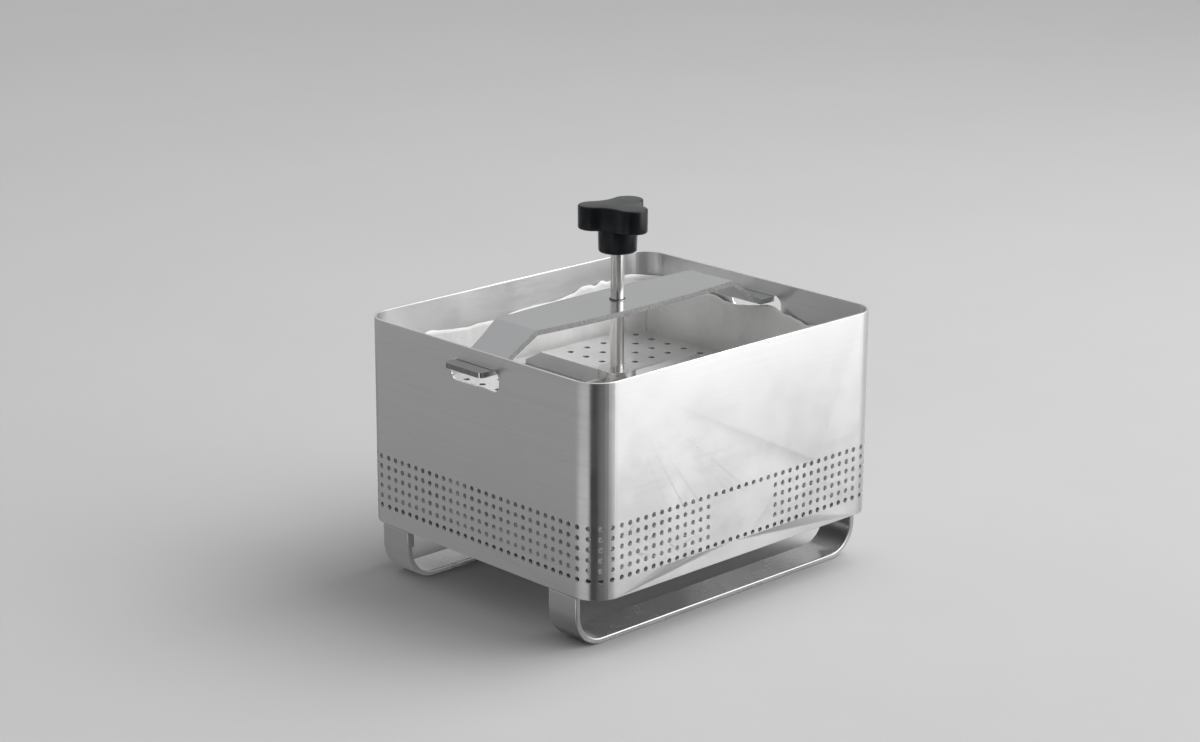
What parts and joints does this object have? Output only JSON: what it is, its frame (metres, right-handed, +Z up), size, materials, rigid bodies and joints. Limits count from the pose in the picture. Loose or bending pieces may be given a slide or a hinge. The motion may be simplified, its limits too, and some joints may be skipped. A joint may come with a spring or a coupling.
{
  "type": "tofu press",
  "caption": "Perforated steel press box on strap feet, with a cloth liner, a bridge hooked through end slots and a plate pushed down by a knob on a sliding rod.",
  "frame": {"origin": "on the floor under the rod's axis, which is also the middle of the whole part's outline", "axes": "+X to the right along the long walls, +Y to the back, away from the wall with the blank label place, +Z up along the rod"},
  "size_m": [0.238, 0.195, 0.22],
  "materials": {
    "sheet_steel": "satin brushed stainless sheet",
    "turned_steel": "polished stainless",
    "cloth": "thin woven white cotton",
    "wiper_rubber": "smooth black rubber",
    "knob_plastic": "satin moulded black plastic",
    "bearing_bronze": "plain machined"
  },
  "bodies": {
    "box": {"box_wall": "sheet_steel", "front_foot": "sheet_steel", "rear_foot": "sheet_steel", "front_ledge": "sheet_steel", "rear_ledge": "sheet_steel", "left_ledge": "sheet_steel", "right_ledge": "sheet_steel", "base_plate": "sheet_steel", "press_cloth": "cloth"},
    "bridge_frame": {"bridge": "sheet_steel", "guide_bush": "turned_steel", "wiper_ring": "wiper_rubber"},
    "press": {"press_plate": "sheet_steel", "left_rib": "sheet_steel", "right_rib": "sheet_steel", "front_rib": "sheet_steel", "rear_rib": "sheet_steel", "plate_hub": "turned_steel", "thrust_disc": "bearing_bronze", "retaining_screw": "turned_steel"},
    "push_rod": {"rod": "turned_steel", "knob": "knob_plastic", "knob_insert": "bearing_bronze"}
  },
  "joints": [
    {"name": "bridge_slide", "type": "slide", "parent": "box", "child": "bridge_frame", "axis": [1, 0, 0], "range_m": [-0.002, 0.011]},
    {"name": "press_slide", "type": "slide", "parent": "bridge_frame", "child": "press", "axis": [0, 0, 1], "range_m": [-0.0264, 0.0316]},
    {"name": "knob_spin", "type": "hinge", "parent": "press", "child": "push_rod", "pos_m": [0, 0, 0.206], "axis": [0, 0, 1], "continuous": true}
  ]
}
